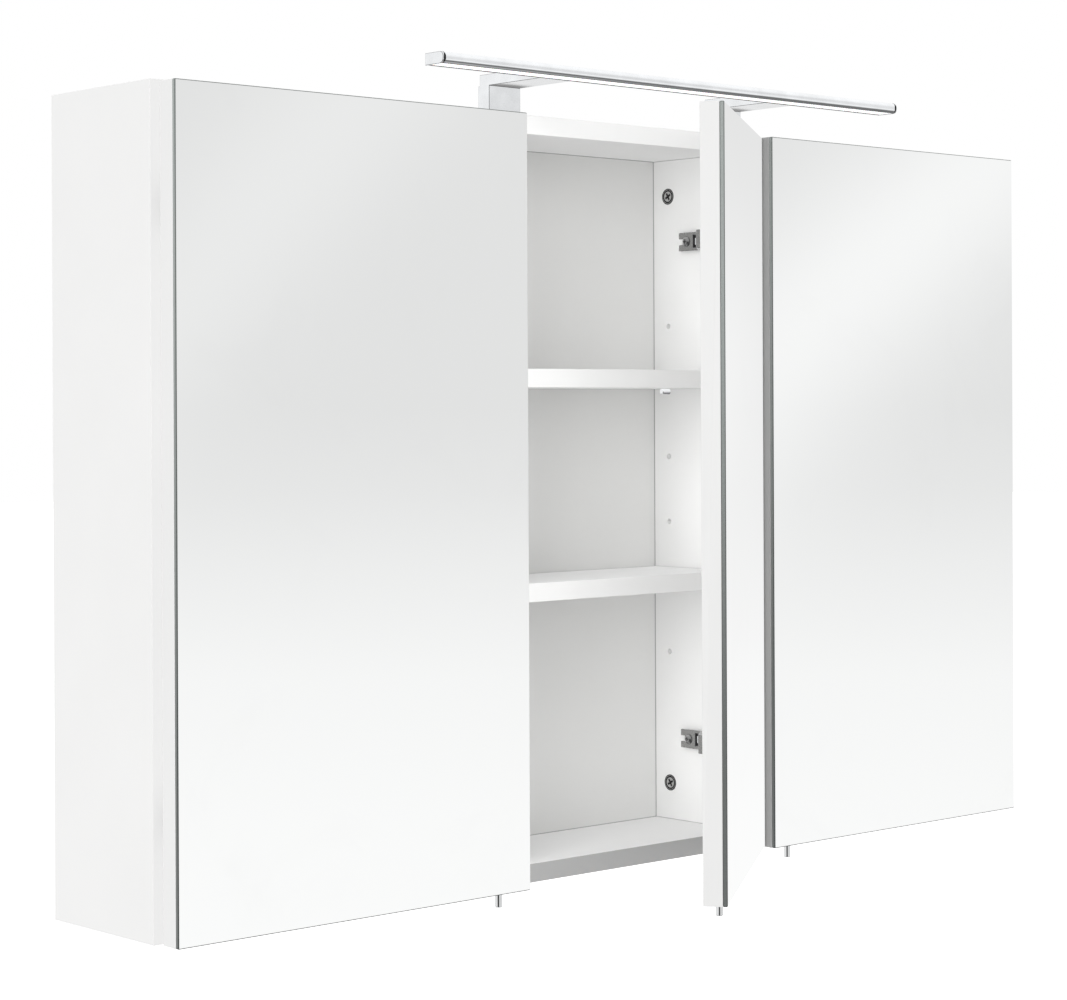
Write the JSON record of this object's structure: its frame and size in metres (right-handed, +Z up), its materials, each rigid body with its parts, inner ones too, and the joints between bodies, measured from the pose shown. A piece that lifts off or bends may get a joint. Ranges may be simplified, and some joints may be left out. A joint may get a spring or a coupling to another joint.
{
  "type": "hanging wall cabinet",
  "caption": "Wall-hung bathroom mirror cabinet with hinged mirrored doors, adjustable shelves and a slim LED lamp bar held on brackets above the doors.",
  "frame": {"origin": "on the wall plane, midway between the entry holes of the two keyhole hanger plates", "axes": "+X along the wall to the right as seen by someone facing the cabinet, +Y into the wall, +Z up"},
  "size_m": [1, 0.3354, 0.693],
  "materials": {
    "white_board": "white melamine film on particle board, satin",
    "white_sheet": "white lacquered hardboard, satin",
    "mirror_glass": "silvered float glass with ground edges",
    "chrome": "polished chrome",
    "lamp_chrome": "polished chrome",
    "diffuser": "opal acrylic",
    "led_board": "white solder mask",
    "led_chips": "yellow phosphor",
    "beech": "raw beech",
    "dark_nickel": "zinc die casting, dark nickel plated",
    "hinge_nickel": "nickel-plated steel",
    "zinc_steel": "zinc-plated steel",
    "spring_steel": "oiled spring steel",
    "black_rubber": "matt rubber",
    "driver_case": "fine-grained plastic"
  },
  "bodies": {
    "cabinet": {"side_panel_left": "white_board", "side_panel_right": "white_board", "top_panel": "white_board", "bottom_panel": "white_board", "divider_left": "white_board", "divider_right": "white_board", "back_sheet": "white_sheet", "shelf_left_upper": "white_board", "shelf_left_lower": "white_board", "shelf_centre_upper": "white_board", "shelf_centre_lower": "white_board", "shelf_right_upper": "white_board", "shelf_right_lower": "white_board", "shelf_supports": "chrome", "cam_locks": "dark_nickel", "cam_bolts": "zinc_steel", "wood_dowels": "beech", "hanger_plates": "zinc_steel", "hanger_screws": "zinc_steel", "lamp_housing": "lamp_chrome", "lamp_diffuser": "diffuser", "lamp_end_cap_left": "lamp_chrome", "lamp_end_cap_right": "lamp_chrome", "lamp_led_board": "led_board", "lamp_leds": "led_chips", "lamp_bracket_left": "lamp_chrome", "lamp_bracket_right": "lamp_chrome", "lamp_housing_screws": "zinc_steel", "lamp_bracket_screws": "zinc_steel", "lead_grommet": "black_rubber", "lamp_driver": "driver_case", "driver_glands": "black_rubber", "driver_screws": "zinc_steel", "hinge_plates": "hinge_nickel", "hinge_plate_screws": "zinc_steel", "hinge_arms_side": "hinge_nickel", "hinge_arms_centre": "hinge_nickel", "hinge_arm_screws": "zinc_steel"},
    "left_door": {"door_board_left": "white_board", "door_mirror_left": "mirror_glass", "door_knob_left": "chrome", "hinge_cups_left": "hinge_nickel", "hinge_pins_left": "zinc_steel", "hinge_springs_left": "spring_steel", "cup_screws_left": "zinc_steel"},
    "centre_door": {"door_board_centre": "white_board", "door_mirror_centre": "mirror_glass", "door_knob_centre": "chrome", "hinge_cups_centre": "hinge_nickel", "hinge_pins_centre": "zinc_steel", "hinge_springs_centre": "spring_steel", "cup_screws_centre": "zinc_steel"},
    "right_door": {"door_board_right": "white_board", "door_mirror_right": "mirror_glass", "door_knob_right": "chrome", "hinge_cups_right": "hinge_nickel", "hinge_pins_right": "zinc_steel", "hinge_springs_right": "spring_steel", "cup_screws_right": "zinc_steel"}
  },
  "joints": [
    {"name": "left_door_hinge", "type": "hinge", "parent": "cabinet", "child": "left_door", "pos_m": [-0.484, -0.1625, 0], "axis": [0, 0, -1], "range_deg": [0, 95]},
    {"name": "centre_door_hinge", "type": "hinge", "parent": "cabinet", "child": "centre_door", "pos_m": [0.13, -0.1625, 0], "axis": [0, 0, 1], "range_deg": [-37, 58]},
    {"name": "right_door_hinge", "type": "hinge", "parent": "cabinet", "child": "right_door", "pos_m": [0.484, -0.1625, 0], "axis": [0, 0, 1], "range_deg": [0, 95]}
  ]
}
